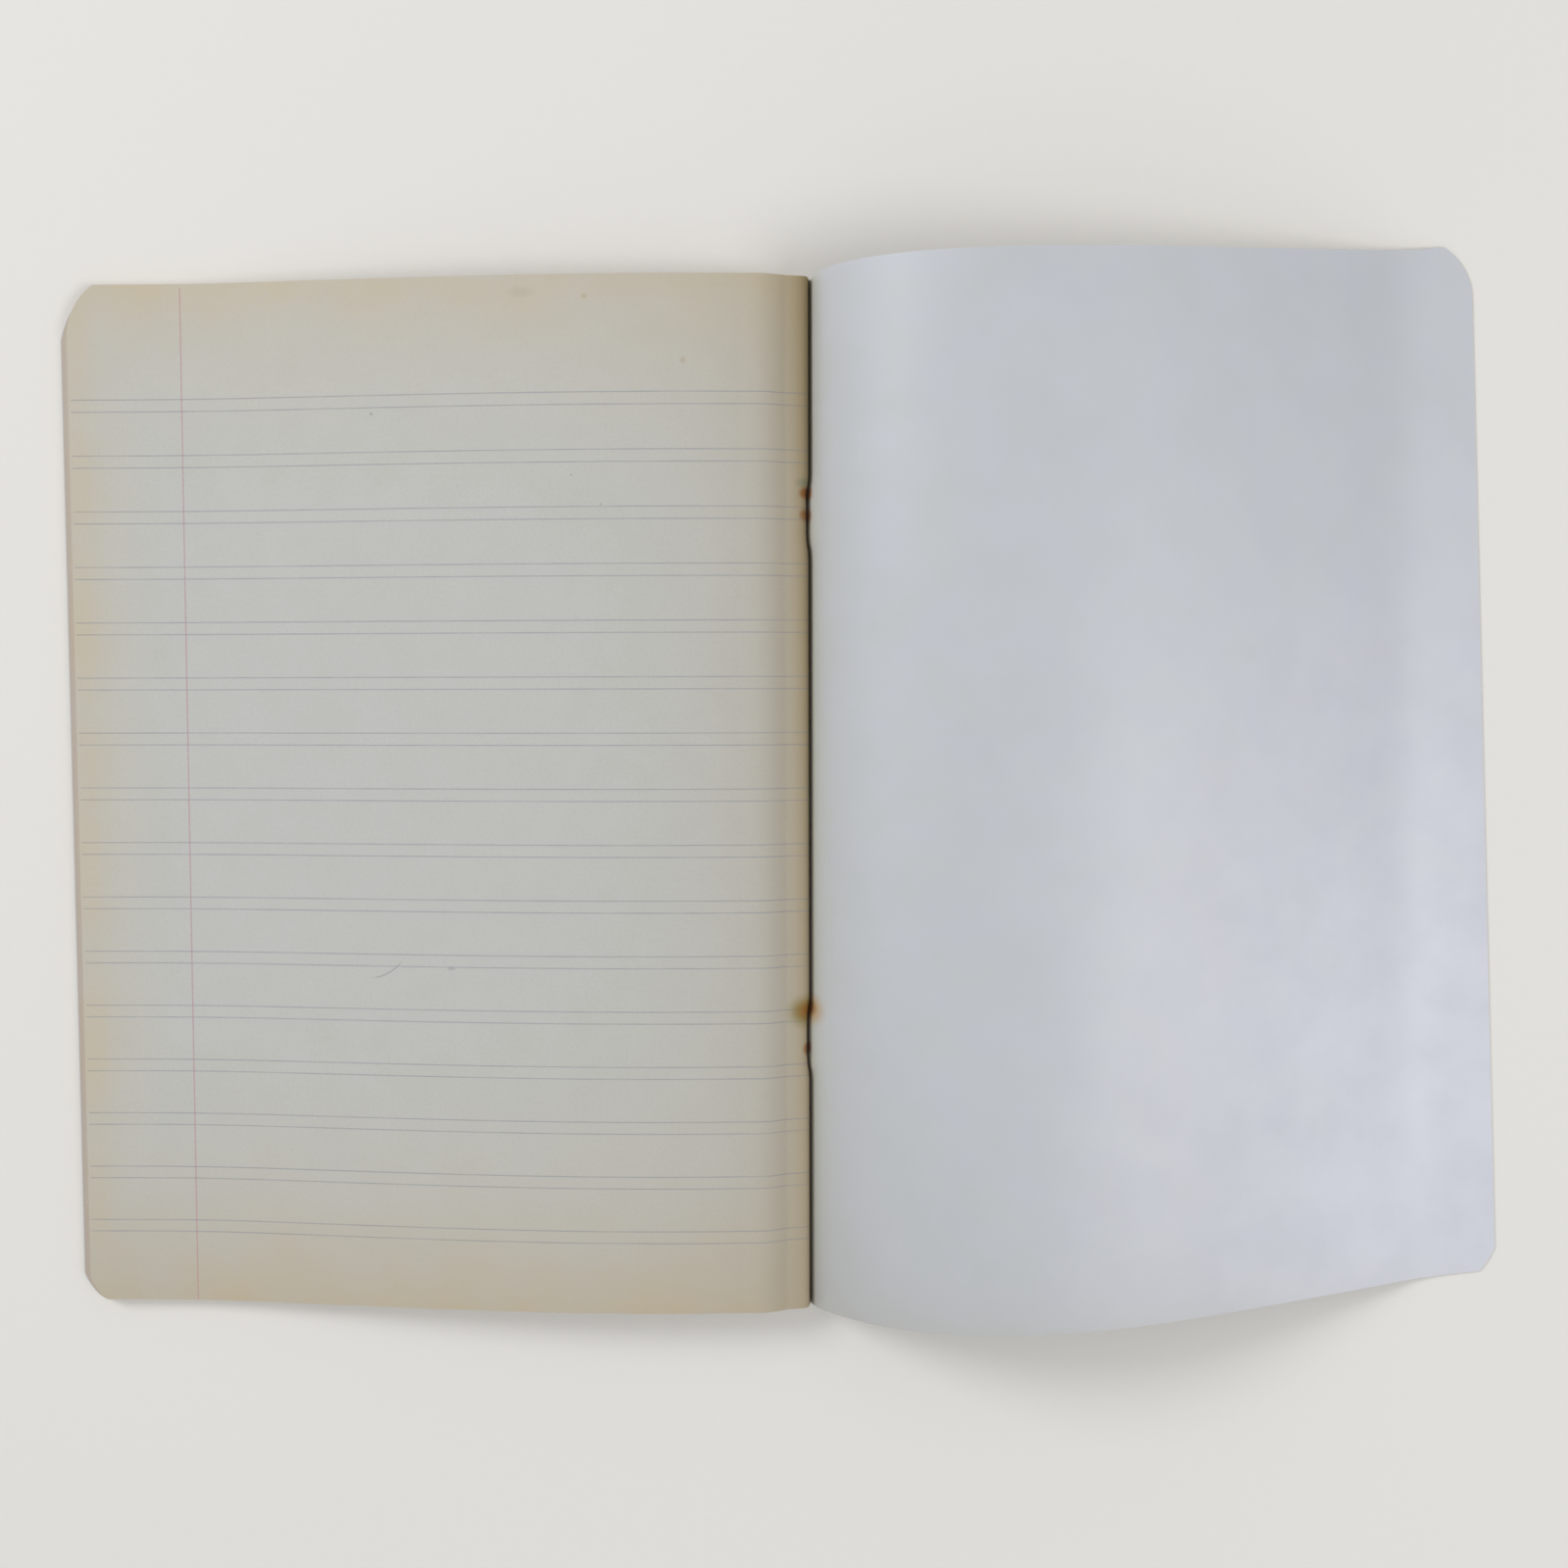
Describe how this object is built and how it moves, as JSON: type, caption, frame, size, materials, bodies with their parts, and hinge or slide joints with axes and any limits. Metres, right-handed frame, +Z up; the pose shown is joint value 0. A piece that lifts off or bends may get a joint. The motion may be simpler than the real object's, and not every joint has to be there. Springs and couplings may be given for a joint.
{
  "type": "stapled school notebook",
  "caption": "Stapled exercise book lying open at its last ruled leaf: leaves and front cover flat on the left, back cover sprung up in an arch on the right.",
  "frame": {"origin": "centre of the underside of the whole box, on the table", "axes": "+X from the leaves towards the raised back cover, +Y towards the top of the page, +Z up from the table"},
  "size_m": [0.303, 0.2212, 0.0301],
  "materials": {
    "page": "matt uncoated paper",
    "leaf": "matt uncoated paper, slightly yellowed at the edges",
    "fold": "matt paper, browned along the fold",
    "cover_inside": "matt unprinted side of coated card",
    "cover_outside": "smooth coated card, left bare",
    "steel": "dull steel wire"
  },
  "bodies": {
    "spine": {"cover_spine": "cover_outside", "back_cover_strip": "cover_inside", "sheet_fold_01": "fold", "sheet_fold_02": "fold", "sheet_fold_03": "fold", "sheet_fold_04": "fold", "sheet_fold_05": "fold", "sheet_fold_06": "fold", "sheet_fold_07": "fold", "sheet_fold_08": "fold", "sheet_fold_09": "fold", "sheet_fold_10": "fold", "sheet_fold_11": "fold", "sheet_fold_12": "fold", "staple_upper": "steel", "staple_lower": "steel", "leaf_01": "leaf"},
    "front_cover": {"front_cover": "cover_outside"},
    "back_cover_root": {"back_cover_root": "cover_inside"},
    "back_cover_rise": {"back_cover_rise": "cover_inside"},
    "back_cover_crest": {"back_cover_crest": "cover_inside"},
    "back_cover_outer": {"back_cover_outer": "cover_inside"},
    "leaf_02": {"leaf_02": "leaf"},
    "leaf_03": {"leaf_03": "leaf"},
    "leaf_04": {"leaf_04": "leaf"},
    "leaf_05": {"leaf_05": "leaf"},
    "leaf_06": {"leaf_06": "leaf"},
    "leaf_07": {"leaf_07": "leaf"},
    "leaf_08": {"leaf_08": "leaf"},
    "leaf_09": {"leaf_09": "leaf"},
    "leaf_10": {"leaf_10": "leaf"},
    "leaf_11": {"leaf_11": "leaf"},
    "leaf_12": {"leaf_12": "leaf"},
    "leaf_13": {"leaf_13": "leaf"},
    "leaf_14": {"leaf_14": "leaf"},
    "leaf_15": {"leaf_15": "leaf"},
    "leaf_16": {"leaf_16": "leaf"},
    "leaf_17": {"leaf_17": "leaf"},
    "leaf_18": {"leaf_18": "leaf"},
    "leaf_19": {"leaf_19": "leaf"},
    "leaf_20": {"leaf_20": "leaf"},
    "leaf_21": {"leaf_21": "leaf"},
    "leaf_22": {"leaf_22": "leaf"},
    "leaf_23": {"leaf_23": "leaf"},
    "last_leaf_root": {"last_leaf_root": "page"},
    "last_leaf": {"last_leaf": "page"}
  },
  "joints": [
    {"name": "front_cover_turn", "type": "hinge", "parent": "spine", "child": "front_cover", "pos_m": [0.00392, -0.00307, 0.00101], "axis": [0, 1, 0], "range_deg": [-165, 0]},
    {"name": "back_cover_turn", "type": "hinge", "parent": "spine", "child": "back_cover_root", "pos_m": [0.00682, -0.00307, 0.00524], "axis": [-0.0022, 1, 0.0008], "range_deg": [-86, 0]},
    {"name": "back_cover_flex", "type": "hinge", "parent": "back_cover_root", "child": "back_cover_rise", "pos_m": [0.01378, -0.00307, 0.01517], "axis": [-0.0216, 0.9997, 0.0138], "range_deg": [-59, 0]},
    {"name": "back_cover_flex_crest", "type": "hinge", "parent": "back_cover_rise", "child": "back_cover_crest", "pos_m": [0.03231, -0.00307, 0.02444], "axis": [-0.0296, 0.9991, 0.0292], "range_deg": [-32, 0]},
    {"name": "back_cover_flex_outer", "type": "hinge", "parent": "back_cover_crest", "child": "back_cover_outer", "pos_m": [0.07157, -0.0024, 0.02253], "axis": [-0.0297, 0.9984, 0.0476], "range_deg": [-30, 0]},
    {"name": "leaf_fan", "type": "hinge", "parent": "spine", "child": "leaf_23", "pos_m": [0.00379, -0.00307, 0.00319], "axis": [0, 1, 0], "range_deg": [0, 45]},
    {"name": "leaf_02_turn", "type": "hinge", "parent": "spine", "child": "leaf_02", "pos_m": [0.00379, -0.00307, 0.00319], "axis": [0, 1, 0], "range_deg": [0, 2.06]},
    {"name": "leaf_03_turn", "type": "hinge", "parent": "spine", "child": "leaf_03", "pos_m": [0.00379, -0.00307, 0.00319], "axis": [0, 1, 0], "range_deg": [0, 4.1]},
    {"name": "leaf_04_turn", "type": "hinge", "parent": "spine", "child": "leaf_04", "pos_m": [0.00379, -0.00307, 0.00319], "axis": [0, 1, 0], "range_deg": [0, 6.15]},
    {"name": "leaf_05_turn", "type": "hinge", "parent": "spine", "child": "leaf_05", "pos_m": [0.00379, -0.00307, 0.00319], "axis": [0, 1, 0], "range_deg": [0, 8.19]},
    {"name": "leaf_06_turn", "type": "hinge", "parent": "spine", "child": "leaf_06", "pos_m": [0.00379, -0.00307, 0.00319], "axis": [0, 1, 0], "range_deg": [0, 10.24]},
    {"name": "leaf_07_turn", "type": "hinge", "parent": "spine", "child": "leaf_07", "pos_m": [0.00379, -0.00307, 0.00319], "axis": [0, 1, 0], "range_deg": [0, 12.28]},
    {"name": "leaf_08_turn", "type": "hinge", "parent": "spine", "child": "leaf_08", "pos_m": [0.00379, -0.00307, 0.00319], "axis": [0, 1, 0], "range_deg": [0, 14.33]},
    {"name": "leaf_09_turn", "type": "hinge", "parent": "spine", "child": "leaf_09", "pos_m": [0.00379, -0.00307, 0.00319], "axis": [0, 1, 0], "range_deg": [0, 16.37]},
    {"name": "leaf_10_turn", "type": "hinge", "parent": "spine", "child": "leaf_10", "pos_m": [0.00379, -0.00307, 0.00319], "axis": [0, 1, 0], "range_deg": [0, 18.42]},
    {"name": "leaf_11_turn", "type": "hinge", "parent": "spine", "child": "leaf_11", "pos_m": [0.00379, -0.00307, 0.00319], "axis": [0, 1, 0], "range_deg": [0, 20.46]},
    {"name": "leaf_12_turn", "type": "hinge", "parent": "spine", "child": "leaf_12", "pos_m": [0.00379, -0.00307, 0.00319], "axis": [0, 1, 0], "range_deg": [0, 22.51]},
    {"name": "leaf_13_turn", "type": "hinge", "parent": "spine", "child": "leaf_13", "pos_m": [0.00379, -0.00307, 0.00319], "axis": [0, 1, 0], "range_deg": [0, 24.55]},
    {"name": "leaf_14_turn", "type": "hinge", "parent": "spine", "child": "leaf_14", "pos_m": [0.00379, -0.00307, 0.00319], "axis": [0, 1, 0], "range_deg": [0, 26.6]},
    {"name": "leaf_15_turn", "type": "hinge", "parent": "spine", "child": "leaf_15", "pos_m": [0.00379, -0.00307, 0.00319], "axis": [0, 1, 0], "range_deg": [0, 28.65]},
    {"name": "leaf_16_turn", "type": "hinge", "parent": "spine", "child": "leaf_16", "pos_m": [0.00379, -0.00307, 0.00319], "axis": [0, 1, 0], "range_deg": [0, 30.69]},
    {"name": "leaf_17_turn", "type": "hinge", "parent": "spine", "child": "leaf_17", "pos_m": [0.00379, -0.00307, 0.00319], "axis": [0, 1, 0], "range_deg": [0, 32.74]},
    {"name": "leaf_18_turn", "type": "hinge", "parent": "spine", "child": "leaf_18", "pos_m": [0.00379, -0.00307, 0.00319], "axis": [0, 1, 0], "range_deg": [0, 34.78]},
    {"name": "leaf_19_turn", "type": "hinge", "parent": "spine", "child": "leaf_19", "pos_m": [0.00379, -0.00307, 0.00319], "axis": [0, 1, 0], "range_deg": [0, 36.83]},
    {"name": "leaf_20_turn", "type": "hinge", "parent": "spine", "child": "leaf_20", "pos_m": [0.00379, -0.00307, 0.00319], "axis": [0, 1, 0], "range_deg": [0, 38.87]},
    {"name": "leaf_21_turn", "type": "hinge", "parent": "spine", "child": "leaf_21", "pos_m": [0.00379, -0.00307, 0.00319], "axis": [0, 1, 0], "range_deg": [0, 40.92]},
    {"name": "leaf_22_turn", "type": "hinge", "parent": "spine", "child": "leaf_22", "pos_m": [0.00379, -0.00307, 0.00319], "axis": [0, 1, 0], "range_deg": [0, 42.97]},
    {"name": "last_leaf_turn", "type": "hinge", "parent": "leaf_23", "child": "last_leaf_root", "pos_m": [0.00379, -0.00307, 0.00319], "axis": [0, 1, 0], "range_deg": [0, 30]},
    {"name": "last_leaf_curl", "type": "hinge", "parent": "last_leaf_root", "child": "last_leaf", "pos_m": [-0.01221, -0.00307, 0.00955], "axis": [0, 1, 0], "range_deg": [0, 80.01]}
  ],
  "couplings": [
    {"joint": "back_cover_flex_crest", "follows": "back_cover_flex", "ratio": 0.54237},
    {"joint": "back_cover_flex_outer", "follows": "back_cover_flex", "ratio": 0.50848},
    {"joint": "leaf_02_turn", "follows": "leaf_fan", "ratio": 0.045455},
    {"joint": "leaf_03_turn", "follows": "leaf_fan", "ratio": 0.090909},
    {"joint": "leaf_04_turn", "follows": "leaf_fan", "ratio": 0.13636},
    {"joint": "leaf_05_turn", "follows": "leaf_fan", "ratio": 0.18182},
    {"joint": "leaf_06_turn", "follows": "leaf_fan", "ratio": 0.22727},
    {"joint": "leaf_07_turn", "follows": "leaf_fan", "ratio": 0.27273},
    {"joint": "leaf_08_turn", "follows": "leaf_fan", "ratio": 0.31818},
    {"joint": "leaf_09_turn", "follows": "leaf_fan", "ratio": 0.36364},
    {"joint": "leaf_10_turn", "follows": "leaf_fan", "ratio": 0.40909},
    {"joint": "leaf_11_turn", "follows": "leaf_fan", "ratio": 0.45454},
    {"joint": "leaf_12_turn", "follows": "leaf_fan", "ratio": 0.5},
    {"joint": "leaf_13_turn", "follows": "leaf_fan", "ratio": 0.54546},
    {"joint": "leaf_14_turn", "follows": "leaf_fan", "ratio": 0.59091},
    {"joint": "leaf_15_turn", "follows": "leaf_fan", "ratio": 0.63636},
    {"joint": "leaf_16_turn", "follows": "leaf_fan", "ratio": 0.68182},
    {"joint": "leaf_17_turn", "follows": "leaf_fan", "ratio": 0.72727},
    {"joint": "leaf_18_turn", "follows": "leaf_fan", "ratio": 0.77273},
    {"joint": "leaf_19_turn", "follows": "leaf_fan", "ratio": 0.81818},
    {"joint": "leaf_20_turn", "follows": "leaf_fan", "ratio": 0.86364},
    {"joint": "leaf_21_turn", "follows": "leaf_fan", "ratio": 0.90909},
    {"joint": "leaf_22_turn", "follows": "leaf_fan", "ratio": 0.95454},
    {"joint": "last_leaf_curl", "follows": "last_leaf_turn", "ratio": 2.6667}
  ]
}
